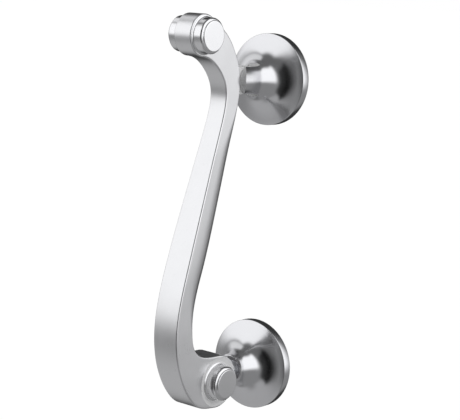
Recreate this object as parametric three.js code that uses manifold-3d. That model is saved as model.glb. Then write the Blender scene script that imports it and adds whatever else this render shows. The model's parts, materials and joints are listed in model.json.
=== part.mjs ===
// Scroll door knocker: an S-shaped arm hung between two round roses.
// Millimetres. The door face is the plane y = 0 and the knocker stands out from it towards -y.
// +z is up, and the origin is the centre of the upper rose on the door face.
// The arm swings on a pin that runs along x through the forked neck of the upper rose.
import * as THREE from "three";
import { NURBSCurve } from "three/addons/curves/NURBSCurve.js";
import { mergeVertices } from "three/addons/utils/BufferGeometryUtils.js";
import Module from "manifold-3d";

const wasm = await Module();
wasm.setup();

// Roses and their necks.
const ROSE_SPACING = 144;
const ROSE_RADIUS = 22.5;
const RIM_HEIGHT = 4.5;
const NECK_RADIUS = 7.5;
const NECK_BEVEL = 0.8;
const STRIKER_NECK_LENGTH = 20.4;
const BACK_RECESS_DEPTH = 2.5;
const BACK_RECESS_OUTER = 16.5;
const BACK_RECESS_INNER = 7.5;
const ROSE_SEGMENTS = 48;
const ROSE_STEPS = 14;

// Control points of a rose's outside from its rim to its neck: [radius, distance from the door].
const ROSE_CURVE = [
  [ROSE_RADIUS, RIM_HEIGHT], [20.4, 5.1], [17.2, 6.2], [13.6, 7.8],
  [10.6, 10.2], [8.6, 13.2], [NECK_RADIUS, 17], [NECK_RADIUS, 19.4],
];

// Hinge: fork in the upper neck, tongue on the arm, and the pin between them.
const PIN_Y = -22.3;
const PIN_RADIUS = 2;
const PIN_LENGTH = 14.2;
const PIN_CLEARANCE = 0.05;
const FORK_SLOT = 7.2;
const SLOT_FLOOR_Y = -14.8;
const TONGUE_THICKNESS = 6.6;
const TONGUE_HEIGHT = 13;
const TONGUE_END_RADIUS = 6.8;

// Arm.
const UPPER_SCROLL = { y: -59.1, z: 21.3, radius: 10 };
const LOWER_SCROLL = { y: -37.8, z: -145.8, radius: 13.1 };
const UPPER_WIDTH = 10.2;
const LOWER_WIDTH = 14.6;
const TAPER_START_Z = -6;
const TAPER_END_Z = -98;
const FRONT_BEVEL = 0.5;
const SQUARE_SECTION = 12;
const ROUND_SECTION = 3.4;

// Turned buttons on both sides of each scroll, and the rod that carries a pair of them.
const BUTTON_RADIUS = 8.4;
const BUTTON_LENGTH = 5.2;
const BUTTON_SHOULDER = 1.2;
const BUTTON_FACE_RADIUS = 7.2;
const BUTTON_HEIGHT = 5.9;
const BUTTON_EDGE = 0.4;
const UPPER_COVE = 0.9;
const LOWER_COVE = 1.1;
const COVE_RISE = 0.6;
const DISH_RADIUS = 12.4;
const DISH_FLOOR_RADIUS = 9.9;
const DISH_DEPTH = 0.9;
const ROD_RADIUS = 2.5;
const ROD_ENTRY = 3.6;

// Striking stud in the lower neck.
const STUD_HEAD_RADIUS = 4.5;
const STUD_HEAD_EDGE = 1.6;
const STUD_HEAD_HEIGHT = 3.6;
const STUD_TANG_RADIUS = 2.4;
const STUD_TANG_LENGTH = 6;

// M6 fixing studs in the backs of the roses.
const FIXING_RADIUS = 2.9;
const FIXING_BORE_RADIUS = 3.1;
const FIXING_DEPTH = 12.5;
const FIXING_STANDOUT = 16;
const FIXING_CHAMFER = 0.8;

const FIT_GAP = 0.3;
const CIRCLE = 2 * Math.PI;

const FINISH = {
  arm: { color: 0xb9bbbf, roughness: 0.36, metalness: 1 },
  rose: { color: 0xb4b6ba, roughness: 0.22, metalness: 1 },
  button: { color: 0xbcbec2, roughness: 0.25, metalness: 1 },
  steel: { color: 0x8f9195, roughness: 0.4, metalness: 1 },
};

function material(name) {
  return new THREE.MeshStandardMaterial(FINISH[name]);
}

// ---------------------------------------------------------------- solids and booleans

function solid(geometry) {
  const bare = geometry.clone();
  bare.deleteAttribute("normal");
  bare.deleteAttribute("uv");
  const merged = mergeVertices(bare, 1e-4);
  return new wasm.Manifold(
    new wasm.Mesh({
      numProp: 3,
      vertProperties: new Float32Array(merged.attributes.position.array),
      triVerts: new Uint32Array(merged.index.array),
    }),
  );
}

function geometryOf(manifold) {
  const mesh = manifold.getMesh();
  const geometry = new THREE.BufferGeometry();
  geometry.setAttribute("position", new THREE.BufferAttribute(mesh.vertProperties, 3));
  geometry.setIndex(new THREE.BufferAttribute(mesh.triVerts, 1));
  geometry.computeVertexNormals();
  return geometry;
}

function block(x, y0, y1, z0, z1) {
  const box = new THREE.BoxGeometry(x, y1 - y0, z1 - z0);
  return solid(box.translate(0, (y0 + y1) / 2, (z0 + z1) / 2));
}

function barAlongX(radius, length, y, z, segments = 32) {
  const bar = new THREE.CylinderGeometry(radius, radius, length, segments);
  return solid(bar.rotateZ(Math.PI / 2).translate(0, y, z));
}

// A body turned about the y axis from [radius, y] pairs that start and end on the axis.
function turned(profile, segments) {
  const points = profile.map(([radius, y]) => new THREE.Vector2(radius, y));
  return new THREE.LatheGeometry(points, segments);
}

// Points of a smooth cubic spline that starts and ends on its first and last control points.
function spline(controls, steps) {
  const degree = 3;
  const spans = controls.length - degree;
  const middle = Array.from({ length: spans - 1 }, (_, i) => i + 1);
  const knots = [...Array(degree + 1).fill(0), ...middle, ...Array(degree + 1).fill(spans)];
  const curve = new NURBSCurve(degree, knots, controls.map(([u, v]) => new THREE.Vector4(u, v, 0, 1)));
  return Array.from({ length: steps + 1 }, (_, i) => {
    const point = curve.getPoint(i / steps);
    return [point.x, point.y];
  });
}

// Points of an arc in the plane, from one angle to another, both ends included.
function arc(cx, cy, radius, from, to, steps) {
  return Array.from({ length: steps + 1 }, (_, i) => {
    const angle = from + ((to - from) * i) / steps;
    return [cx + radius * Math.cos(angle), cy + radius * Math.sin(angle)];
  });
}

// ---------------------------------------------------------------- roses

// Radius and y of the outside from the rim to the end of the neck.
function roseOutside(neckEnd) {
  const curve = spline(ROSE_CURVE, ROSE_STEPS).map(([radius, height]) => [radius, -height]);
  const end = [[NECK_RADIUS, neckEnd + NECK_BEVEL], [NECK_RADIUS - NECK_BEVEL, neckEnd]];
  return [...curve, ...end];
}

function roseBody(neckEnd) {
  const back = [
    [0, -FIXING_DEPTH - FIT_GAP],
    [FIXING_BORE_RADIUS, -FIXING_DEPTH - FIT_GAP],
    [FIXING_BORE_RADIUS, 0],
    [BACK_RECESS_INNER, 0],
    [BACK_RECESS_INNER, -BACK_RECESS_DEPTH],
    [BACK_RECESS_OUTER, -BACK_RECESS_DEPTH],
    [BACK_RECESS_OUTER, 0],
    [ROSE_RADIUS - 0.3, 0],
    [ROSE_RADIUS, -0.3],
  ];
  const profile = [...back, ...roseOutside(neckEnd), [0, neckEnd]];
  return solid(turned(profile.reverse(), ROSE_SEGMENTS));
}

// The fork: a slot for the tongue, cheeks rounded about the pin, and the pin's bore.
function upperRose() {
  const neckEnd = PIN_Y - NECK_RADIUS;
  const beyond = neckEnd - 5;
  const slot = block(FORK_SLOT, beyond, SLOT_FLOOR_Y, -20, 20);
  const square = block(30, beyond, PIN_Y, -20, 20);
  const corners = square.subtract(barAlongX(NECK_RADIUS, 40, PIN_Y, 0, 48));
  const bore = barAlongX(PIN_RADIUS + PIN_CLEARANCE, 40, PIN_Y, 0);
  return geometryOf(roseBody(neckEnd).subtract(slot).subtract(corners).subtract(bore));
}

function lowerRose() {
  const depth = STUD_TANG_LENGTH + FIT_GAP;
  const hole = new THREE.CylinderGeometry(STUD_TANG_RADIUS + 0.2, STUD_TANG_RADIUS + 0.2, 2 * depth, 32);
  const bore = solid(hole.translate(0, -STRIKER_NECK_LENGTH, 0));
  return geometryOf(roseBody(-STRIKER_NECK_LENGTH).subtract(bore));
}

// ---------------------------------------------------------------- arm

// Control points of the front and back edges between the scrolls, from the top down: [y, z].
const FRONT_EDGE = [
  [-49.4, 8.2], [-40.8, -1.4], [-40.3, -12.1], [-46.4, -30], [-54.8, -56.1], [-64.3, -86.2],
  [-71.9, -114.4], [-68.2, -138.6], [-54, -157.6],
];
const BACK_EDGE = [
  [-39.4, 21], [-29.5, 3], [-31.8, -13.5], [-34.9, -34], [-41.9, -60.4], [-49.6, -90],
  [-60.2, -115], [-57, -128.9], [-48.7, -132.2],
];
// Where the edges leave each scroll, in degrees round it, and how far they carry straight on.
const UPPER_LEAVE = { front: [-93, 4], back: [59, -8] };
const LOWER_LEAVE = { front: [-95, -7], back: [89, 5] };
const EDGE_STEPS = 54;
const SCROLL_STEPS = 9;
const SIDE_STEPS = 7;

function smoothstep(from, to, value) {
  return THREE.MathUtils.smoothstep((value - from) / (to - from), 0, 1);
}

function armWidth(z) {
  return THREE.MathUtils.lerp(UPPER_WIDTH, LOWER_WIDTH, smoothstep(TAPER_START_Z, TAPER_END_Z, z));
}

// How square the section is: square at both scrolls and round-backed along the grip.
function squareness(z) {
  const grip = smoothstep(-8, -38, z) * (1 - smoothstep(-90, -124, z));
  return THREE.MathUtils.lerp(SQUARE_SECTION, ROUND_SECTION, grip);
}

// A point on a scroll, and one further along its tangent there.
function leaving(scroll, [degrees, reach]) {
  const angle = THREE.MathUtils.degToRad(degrees);
  const out = [Math.cos(angle), Math.sin(angle)];
  const point = [scroll.y + out[0] * scroll.radius, scroll.z + out[1] * scroll.radius];
  return [point, [point[0] - out[1] * reach, point[1] + out[0] * reach]];
}

function freeEdge(side, controls) {
  const upper = leaving(UPPER_SCROLL, UPPER_LEAVE[side]);
  const lower = leaving(LOWER_SCROLL, LOWER_LEAVE[side]);
  return spline([...upper, ...controls, ...lower.reverse()], EDGE_STEPS);
}

// Both edges round a scroll, from near its tip to the points where the arm leaves it.
function scrollEdges(scroll, leave, turn) {
  const frontAngle = THREE.MathUtils.degToRad(leave.front[0]);
  const backAngle = THREE.MathUtils.degToRad(leave.back[0]);
  const sweep = THREE.MathUtils.euclideanModulo(turn * (backAngle - frontAngle), CIRCLE) / 2;
  const tip = frontAngle + turn * sweep;
  const open = 0.06;
  const round = (from, to) => arc(scroll.y, scroll.z, scroll.radius, from, to, SCROLL_STEPS).slice(0, -1);
  return {
    front: round(tip - turn * open, frontAngle),
    back: round(tip + turn * open, tip + turn * sweep),
  };
}

function armEdges() {
  const upper = scrollEdges(UPPER_SCROLL, UPPER_LEAVE, -1);
  const lower = scrollEdges(LOWER_SCROLL, LOWER_LEAVE, 1);
  const front = [...upper.front, ...freeEdge("front", FRONT_EDGE), ...lower.front.reverse()];
  const back = [...upper.back, ...freeEdge("back", BACK_EDGE), ...lower.back.reverse()];
  return front.map((point, i) => [point, back[i]]);
}

// One closed section of the arm between a front point and a back point.
function armSection([front, back]) {
  const depth = Math.hypot(back[0] - front[0], back[1] - front[1]);
  const middle = (front[1] + back[1]) / 2;
  const halfWidth = armWidth(middle) / 2;
  const power = 2 / squareness(middle);
  const bevel = Math.min(FRONT_BEVEL, depth * 0.1);
  const side = [[halfWidth - bevel, 0]];
  for (let i = 0; i < SIDE_STEPS; i++) {
    const angle = ((Math.PI / 2) * i) / SIDE_STEPS;
    const across = bevel / depth + (1 - bevel / depth) * Math.sin(angle) ** power;
    side.push([halfWidth * Math.cos(angle) ** power, across]);
  }
  const other = side.map(([x, across]) => [-x, across]).reverse();
  return [...side, ...other].map(([x, across]) => [
    x,
    THREE.MathUtils.lerp(front[0], back[0], across),
    THREE.MathUtils.lerp(front[1], back[1], across),
  ]);
}

// Skin over a run of equal-sized rings, closed at both ends.
function skin(rings) {
  const size = rings[0].length;
  const positions = rings.flat(2);
  const index = [];
  for (let r = 0; r + 1 < rings.length; r++) {
    for (let i = 0; i < size; i++) {
      const a = r * size + i;
      const b = r * size + ((i + 1) % size);
      index.push(a, a + size, b, b, a + size, b + size);
    }
  }
  const lastRing = (rings.length - 1) * size;
  for (let i = 1; i + 1 < size; i++) {
    index.push(0, i, i + 1);
    index.push(lastRing, lastRing + i + 1, lastRing + i);
  }
  const geometry = new THREE.BufferGeometry();
  geometry.setAttribute("position", new THREE.Float32BufferAttribute(positions, 3));
  geometry.setIndex(index);
  return geometry;
}

function tongue() {
  const half = TONGUE_HEIGHT / 2;
  const root = block(TONGUE_THICKNESS, PIN_Y - 12, PIN_Y, -half, half);
  const round = barAlongX(TONGUE_END_RADIUS, TONGUE_THICKNESS, PIN_Y, 0, 48);
  return root.add(round);
}

// What is cut from each side of the lower scroll: a shallow dish that a button stands in.
function dish(side) {
  const profile = [
    [0, -DISH_DEPTH],
    [DISH_FLOOR_RADIUS, -DISH_DEPTH],
    [THREE.MathUtils.lerp(DISH_FLOOR_RADIUS, DISH_RADIUS, 0.3), -DISH_DEPTH * 0.8],
    [THREE.MathUtils.lerp(DISH_FLOOR_RADIUS, DISH_RADIUS, 0.7), -DISH_DEPTH * 0.2],
    [DISH_RADIUS, 0],
    [DISH_RADIUS, 1],
    [0, 1],
  ];
  const cutter = turned(profile, 48).rotateZ((-side * Math.PI) / 2);
  return solid(cutter.translate((side * LOWER_WIDTH) / 2, LOWER_SCROLL.y, LOWER_SCROLL.z));
}

function arm() {
  const blank = solid(skin(armEdges().map(armSection))).subtract(dish(1)).subtract(dish(-1));
  const pinBore = barAlongX(PIN_RADIUS + PIN_CLEARANCE, 40, PIN_Y, 0);
  const upperBore = barAlongX(ROD_RADIUS + 0.1, 40, UPPER_SCROLL.y, UPPER_SCROLL.z);
  const lowerBore = barAlongX(ROD_RADIUS + 0.1, 40, LOWER_SCROLL.y, LOWER_SCROLL.z);
  return geometryOf(blank.add(tongue()).subtract(pinBore).subtract(upperBore).subtract(lowerBore));
}

// ---------------------------------------------------------------- small turned pieces

function hingePin() {
  const half = PIN_LENGTH / 2;
  const profile = [[0, -half], [PIN_RADIUS - 0.3, -half], [PIN_RADIUS, 0.3 - half]];
  const mirrored = profile.map(([radius, y]) => [radius, -y]).reverse();
  return turned([...profile, ...mirrored], 32).rotateZ(Math.PI / 2);
}

// A button turned about y with its face towards +y. It has a small hollow round its foot, which
// stands a little below y = 0 where the scroll is dished.
function button(cove, sunk) {
  const bore = ROD_RADIUS + 0.1;
  const inner = BUTTON_RADIUS - BUTTON_SHOULDER;
  const profile = [
    [0, ROD_ENTRY + FIT_GAP],
    [bore, ROD_ENTRY + FIT_GAP],
    [bore, -sunk],
    ...coveProfile(cove).map(([radius, y]) => [radius, y - sunk]),
    ...arc(inner, BUTTON_LENGTH - BUTTON_SHOULDER, BUTTON_SHOULDER, 0, Math.PI / 2, 3),
    ...arc(BUTTON_FACE_RADIUS - BUTTON_EDGE, BUTTON_HEIGHT - BUTTON_EDGE, BUTTON_EDGE, 0, Math.PI / 2, 1),
    [0, BUTTON_HEIGHT],
  ];
  return turned(profile, 32);
}

function coveProfile(width) {
  return arc(0, 0, 1, 0.1, (Math.PI / 2) * 0.86, 4).map(([c, s]) => [
    BUTTON_RADIUS + width * (1 - s),
    COVE_RISE * width * (1 - c),
  ]);
}

function buttonRod(length) {
  return new THREE.CylinderGeometry(ROD_RADIUS, ROD_RADIUS, length, 32);
}

function strikingStud() {
  const rise = STUD_HEAD_HEIGHT - STUD_HEAD_EDGE;
  const crown = (STUD_HEAD_RADIUS ** 2 + rise ** 2) / (2 * rise);
  const open = Math.asin(STUD_HEAD_RADIUS / crown);
  const dome = arc(0, STUD_HEAD_HEIGHT - crown, crown, Math.PI / 2 - open, Math.PI / 2, 6).slice(0, -1);
  const profile = [
    [0, -STUD_TANG_LENGTH],
    [STUD_TANG_RADIUS, -STUD_TANG_LENGTH],
    [STUD_TANG_RADIUS, 0],
    [STUD_HEAD_RADIUS, 0],
    ...dome,
    [0, STUD_HEAD_HEIGHT],
  ];
  return turned(profile, 36).rotateX(Math.PI);
}

function fixingStud() {
  const inner = -FIXING_DEPTH;
  const outer = FIXING_STANDOUT;
  const tip = FIXING_RADIUS - FIXING_CHAMFER;
  const profile = [
    [0, inner],
    [tip, inner],
    [FIXING_RADIUS, inner + FIXING_CHAMFER],
    [FIXING_RADIUS, outer - FIXING_CHAMFER],
    [tip, outer],
    [0, outer],
  ];
  return turned(profile, 32);
}

// ---------------------------------------------------------------- assembly

const knocker = new THREE.Group();

function place(name, geometry, finish, y = 0, z = 0, parent = knocker) {
  const mesh = new THREE.Mesh(geometry, material(finish));
  mesh.name = name;
  mesh.position.set(0, y, z);
  parent.add(mesh);
  return mesh;
}

place("upper_rose", upperRose(), "rose");
place("lower_rose", lowerRose(), "rose", 0, -ROSE_SPACING);
place("hinge_pin", hingePin(), "steel", PIN_Y);
place("knocker_arm", arm(), "arm");
place("striking_stud", strikingStud(), "steel", -STRIKER_NECK_LENGTH - FIT_GAP, -ROSE_SPACING);
place("upper_fixing_stud", fixingStud(), "steel");
place("lower_fixing_stud", fixingStud(), "steel", 0, -ROSE_SPACING);

const scrolls = {
  upper: { ...UPPER_SCROLL, cove: UPPER_COVE, sunk: 0 },
  lower: { ...LOWER_SCROLL, cove: LOWER_COVE, sunk: DISH_DEPTH },
};
for (const [level, scroll] of Object.entries(scrolls)) {
  const seat = armWidth(scroll.z) / 2 + FIT_GAP;
  const rod = buttonRod(2 * (seat + ROD_ENTRY));
  place(`${level}_button_rod`, rod, "steel", scroll.y, scroll.z).rotation.z = Math.PI / 2;
  for (const [hand, side] of [["left", -1], ["right", 1]]) {
    const shape = button(scroll.cove, scroll.sunk);
    const mesh = place(`${level}_button_${hand}`, shape, "button", scroll.y, scroll.z);
    mesh.position.x = side * seat;
    mesh.rotation.z = (-side * Math.PI) / 2;
  }
}

export default knocker;
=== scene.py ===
import json
import math

import bmesh
import bpy
import numpy as np
from mathutils import Matrix, Vector


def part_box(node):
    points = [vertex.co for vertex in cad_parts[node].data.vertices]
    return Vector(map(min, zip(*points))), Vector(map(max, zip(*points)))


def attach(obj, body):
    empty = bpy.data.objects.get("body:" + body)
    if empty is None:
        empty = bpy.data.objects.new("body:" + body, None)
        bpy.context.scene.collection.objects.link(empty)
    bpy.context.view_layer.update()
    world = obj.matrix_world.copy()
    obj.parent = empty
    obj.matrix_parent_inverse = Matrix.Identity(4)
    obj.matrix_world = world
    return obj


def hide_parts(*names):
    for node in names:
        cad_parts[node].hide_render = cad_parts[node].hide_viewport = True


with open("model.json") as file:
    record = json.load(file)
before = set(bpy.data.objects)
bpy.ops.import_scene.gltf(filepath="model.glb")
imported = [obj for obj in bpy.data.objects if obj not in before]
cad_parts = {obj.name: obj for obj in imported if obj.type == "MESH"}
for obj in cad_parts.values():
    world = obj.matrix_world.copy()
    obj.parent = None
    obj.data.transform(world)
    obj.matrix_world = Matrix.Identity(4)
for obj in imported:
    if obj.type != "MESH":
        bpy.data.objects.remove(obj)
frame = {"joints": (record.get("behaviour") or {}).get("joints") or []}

bl_info = {
    "name": "Scroll Door Knocker",
    "version": (1, 0, 0),
    "blender": (4, 5, 0),
    "location": "3D View > Sidebar > Knocker",
    "description": "Makes the finished pieces of a scroll door knocker around its frame",
    "category": "Object",
}

MM = 0.001
TURN = 2 * math.pi

# The door face is y = 0, the knocker stands out towards -y, and the arm swings on a pin along x.
HINGE = Vector(frame["joints"][0]["pos_m"])


def middle(node):
    low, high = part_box(node)
    return (low + high) / 2


def half_size(node):
    low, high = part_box(node)
    return (high - low) / 2


LOWER_ROSE_Z = middle("lower_rose").z
ROSE_RADIUS = half_size("lower_rose").x
LOWER_NECK_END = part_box("lower_rose")[0].y
NECK_RADIUS = HINGE.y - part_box("upper_rose")[0].y
UPPER_SCROLL = middle("upper_button_right")
LOWER_SCROLL = middle("lower_button_right")
BUTTON_HEIGHT = 2 * half_size("upper_button_right").x
SCROLL_GAP = 0.3 * MM
UPPER_WIDTH = 2 * (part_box("upper_button_right")[0].x - SCROLL_GAP)
LOWER_WIDTH = 2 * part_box("knocker_arm")[1].x
ARM_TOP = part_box("knocker_arm")[1].z
ARM_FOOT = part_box("knocker_arm")[0].z


# -------- settings a user would change

def length(name, description, default):
    return bpy.props.FloatProperty(
        name=name, description=description, default=default, min=0, unit="LENGTH", precision=5)


def angle(name, description, degrees):
    return bpy.props.FloatProperty(
        name=name, description=description, default=math.radians(degrees), subtype="ANGLE")


def share(name, description, default):
    return bpy.props.FloatProperty(
        name=name, description=description, default=default, min=0, max=1, subtype="FACTOR")


def count(name, description, default):
    return bpy.props.IntProperty(name=name, description=description, default=default, min=3)


def colour(name, description, default):
    return bpy.props.FloatVectorProperty(
        name=name, description=description, default=default, size=3, min=0, max=1, subtype="COLOR")


class RoseSettings(bpy.types.PropertyGroup):
    radius: length("Rose radius", "Radius of both roses at the rim", ROSE_RADIUS)
    rim_height: length("Rim height", "Straight edge of a rose above the door", 4.5 * MM)
    neck_radius: length("Neck radius", "Radius of the straight neck", NECK_RADIUS)
    neck_bevel: length("Neck bevel", "Bevel round the end of the lower neck", 0.8 * MM)
    rim_edge: length("Rim edge", "Rounding of the rim's corner", 0.35 * MM)
    slot_width: length("Slot width", "Gap between the two cheeks of the fork", 7.2 * MM)
    slot_floor: length("Slot floor", "Distance of the slot's floor from the door", 14.8 * MM)
    segments: count("Segments", "Steps round a rose", 192)


class ArmSettings(bpy.types.PropertyGroup):
    upper_width: length("Upper width", "Width of the arm at the upper scroll", UPPER_WIDTH)
    lower_width: length("Lower width", "Width of the arm at the lower scroll", LOWER_WIDTH)
    upper_radius: length("Upper scroll radius", "Radius of the upper scroll", ARM_TOP - UPPER_SCROLL.z)
    lower_radius: length("Lower scroll radius", "Radius of the lower scroll", LOWER_SCROLL.z - ARM_FOOT)
    edge: length("Edge", "Rounding of the arm's long edges", 0.75 * MM)
    squareness: bpy.props.FloatProperty(
        name="Grip squareness", description="2 is an oval back, higher is squarer", default=3.3, min=2)
    tongue_width: length("Tongue width", "Width of the tongue in the fork", 6.6 * MM)
    tongue_height: length("Tongue height", "Height of the tongue where it leaves the arm", 13 * MM)
    tongue_end: length("Tongue end", "Radius of the tongue's round end", 6.8 * MM)
    dish_radius: length("Dish radius", "Radius of the hollow each lower button stands in", 12.4 * MM)
    dish_floor: length("Dish floor", "Radius of the hollow's flat floor", 9.9 * MM)
    dish_depth: length("Dish depth", "Depth of the hollow", 0.9 * MM)


class ButtonSettings(bpy.types.PropertyGroup):
    radius: length("Button radius", "Radius of a button's body", 8.4 * MM)
    shoulder: length("Shoulder", "Rounding of the body's outer edge", 1.25 * MM)
    height: length("Button height", "Height of a button above the scroll", BUTTON_HEIGHT)
    face_radius: length("Face radius", "Radius of the raised face", 7.2 * MM)
    step: length("Step", "Height of the raised face", 0.7 * MM)
    upper_cove: length("Upper cove", "Width of the hollow at the foot of an upper button", 0.9 * MM)
    lower_cove: length("Lower cove", "Width of the hollow at the foot of a lower button", 1.1 * MM)
    segments: count("Segments", "Steps round a button", 128)


class FixingSettings(bpy.types.PropertyGroup):
    pin_radius: length("Pin radius", "Radius of the hinge pin", 2 * MM)
    stud_radius: length("Stud radius", "Outside radius of a fixing stud's thread", 2.95 * MM)
    pitch: length("Pitch", "Pitch of the fixing stud's thread", 1 * MM)
    thread_depth: length("Thread depth", "Depth of the thread", 0.55 * MM)
    striker_radius: length("Striker radius", "Radius of the striking stud's head", 4.5 * MM)


class FinishSettings(bpy.types.PropertyGroup):
    arm_colour: colour("Arm colour", "Satin chrome of the arm", (0.78, 0.78, 0.79))
    rose_colour: colour("Rose colour", "Polished chrome of the roses", (0.69, 0.69, 0.705))
    button_colour: colour("Button colour", "Chrome of the turned buttons", (0.78, 0.78, 0.79))
    steel_colour: colour("Steel colour", "Plain steel of pins and studs", (0.36, 0.36, 0.37))
    arm_roughness: share("Arm roughness", "How soft the arm's reflections are", 0.28)
    rose_roughness: share("Rose roughness", "How soft the roses' reflections are", 0.17)
    button_roughness: share("Button roughness", "How soft the buttons' reflections are", 0.15)
    steel_roughness: share("Steel roughness", "How soft the steel's reflections are", 0.38)


class StageSettings(bpy.types.PropertyGroup):
    azimuth: angle("Azimuth", "Which side the knocker is seen from", 38.865)
    elevation: angle("Elevation", "How far the camera looks down", 8.87)
    lean: angle("Lean", "How far the knocker leans in the picture", 3.29)
    distance: length("Distance", "Camera distance from the middle of the knocker", 737.465 * MM)
    focal: bpy.props.FloatProperty(
        name="Lens", description="Focal length in millimetres on a 36 mm sensor", default=113.1)
    paper: colour("Paper colour", "Floor and background", (1.0, 1.0, 1.0))


GROUPS = {
    "knocker_roses": RoseSettings,
    "knocker_arm": ArmSettings,
    "knocker_buttons": ButtonSettings,
    "knocker_fixings": FixingSettings,
    "knocker_finish": FinishSettings,
    "knocker_stage": StageSettings,
}


# -------- sums and node sheets

class Number:
    """A number on a node sheet, so that a sheet's sums are written as ordinary arithmetic."""

    def __init__(self, tree, socket):
        self.tree = tree
        self.socket = socket

    def sum(self, operation, *others, clamp=False):
        node = self.tree.nodes.new("ShaderNodeMath")
        node.operation = operation
        node.use_clamp = clamp
        for socket, value in zip(node.inputs, (self, *others)):
            feed(self.tree, socket, value)
        return Number(self.tree, node.outputs[0])

    def __add__(self, other):
        return self.sum("ADD", other)

    def __sub__(self, other):
        return self.sum("SUBTRACT", other)

    def __mul__(self, other):
        return self.sum("MULTIPLY", other)

    def __truediv__(self, other):
        return self.sum("DIVIDE", other)

    def __pow__(self, other):
        return self.sum("POWER", other)

    def __neg__(self):
        return self.sum("MULTIPLY", -1)

    def one_minus(self):
        return (-self) + 1

    def clamped(self):
        return self.sum("ADD", 0, clamp=True)

    def towards(self, other, amount):
        """This number at amount 0 and the other at amount 1."""
        return self + (-self + other) * amount


def feed(tree, socket, value):
    """Wires a number, another socket or a plain value into a socket."""
    if isinstance(value, Number):
        value = value.socket
    if isinstance(value, bpy.types.NodeSocket):
        tree.links.new(value, socket)
    else:
        socket.default_value = value


def node(tree, kind, sockets=(), **settings):
    made = tree.nodes.new(kind)
    for name, value in settings.items():
        setattr(made, name, value)
    for name, value in dict(sockets).items():
        feed(tree, made.inputs[name], value)
    return made


def vector(tree, x, y, z):
    return node(tree, "ShaderNodeCombineXYZ", {"X": x, "Y": y, "Z": z}).outputs[0]


def parts_of(tree, socket):
    made = node(tree, "ShaderNodeSeparateXYZ", {0: socket})
    return [Number(tree, output) for output in made.outputs]


def new_sheet(name, kind, inputs, outputs):
    """An empty node sheet with named inputs and outputs, and its input and output nodes."""
    tree = bpy.data.node_groups.new(name, kind)
    for side, sockets in (("INPUT", inputs), ("OUTPUT", outputs)):
        for label, socket_type in sockets.items():
            tree.interface.new_socket(label, in_out=side, socket_type=socket_type)
    return tree, tree.nodes.new("NodeGroupInput"), tree.nodes.new("NodeGroupOutput")


def numbers(tree, given, *names):
    """The named inputs of a sheet as numbers."""
    return [Number(tree, given.outputs[name]) for name in names]


FLOAT, WHOLE, VECTOR = "NodeSocketFloat", "NodeSocketInt", "NodeSocketVector"
SHAPE, FINISH = "NodeSocketGeometry", "NodeSocketMaterial"


def finish_sheet(tree, geometry, given, out, weld=1e-6):
    """Every shape sheet ends the same way: weld, realize, and put the finish on."""
    welded = node(tree, "GeometryNodeMergeByDistance", {"Geometry": geometry, "Distance": weld})
    real = node(tree, "GeometryNodeRealizeInstances", {"Geometry": welded.outputs[0]})
    finished = node(tree, "GeometryNodeSetMaterial",
                    {"Geometry": real.outputs[0], "Material": given.outputs["Finish"]})
    tree.links.new(finished.outputs[0], out.inputs["Geometry"])


def sampled(tree, geometry, value, place, data_type="FLOAT_VECTOR"):
    made = node(tree, "GeometryNodeSampleIndex", data_type=data_type)
    feed(tree, made.inputs["Geometry"], geometry)
    feed(tree, made.inputs["Value"], value)
    feed(tree, made.inputs["Index"], place)
    return made.outputs[0]


def grid_of(tree, columns, rows):
    """A grid and, for each of its points, the column and the row that it stands in."""
    grid = node(tree, "GeometryNodeMeshGrid", {"Vertices X": columns, "Vertices Y": rows})
    index = Number(tree, node(tree, "GeometryNodeInputIndex").outputs[0])
    column = (index / rows + 1e-4).sum("FLOOR")
    return grid.outputs["Mesh"], column, index - column * rows


def moved(tree, geometry, place):
    return node(tree, "GeometryNodeSetPosition", {"Geometry": geometry, "Position": place}).outputs[0]


def finish_turned(tree, grid, radius, bearing, height, given, out):
    """Lays a grid round an axis, stands it in its place and puts the finish on."""
    round_about = vector(tree, radius * bearing.sum("COSINE"), radius * bearing.sum("SINE"), height)
    placed = node(tree, "GeometryNodeTransform", {
        "Geometry": moved(tree, grid, round_about),
        "Translation": given.outputs["Place"],
        "Rotation": given.outputs["Turn"]})
    finish_sheet(tree, placed.outputs[0], given, out)
    return tree


def turning_sheet():
    """Turns an outline about an axis. The outline's points hold the radius in x and the height in y."""
    tree, given, out = new_sheet(
        "turned_piece", "GeometryNodeTree",
        {"Geometry": SHAPE, "Segments": WHOLE, "Turn": VECTOR, "Place": VECTOR, "Finish": FINISH},
        {"Geometry": SHAPE})
    outline = given.outputs["Geometry"]
    points = node(tree, "GeometryNodeAttributeDomainSize", {"Geometry": outline}).outputs["Point Count"]
    segments = Number(tree, given.outputs["Segments"])
    grid, column, row = grid_of(tree, points, segments + 1)
    position = node(tree, "GeometryNodeInputPosition").outputs[0]
    radius, height, _ = parts_of(tree, sampled(tree, outline, position, column))
    return finish_turned(tree, grid, radius, row / segments * TURN, height, given, out)


# Above 1, the foot of a thread's ridge is flat.
RIDGE_STEEPNESS = 1.25


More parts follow.
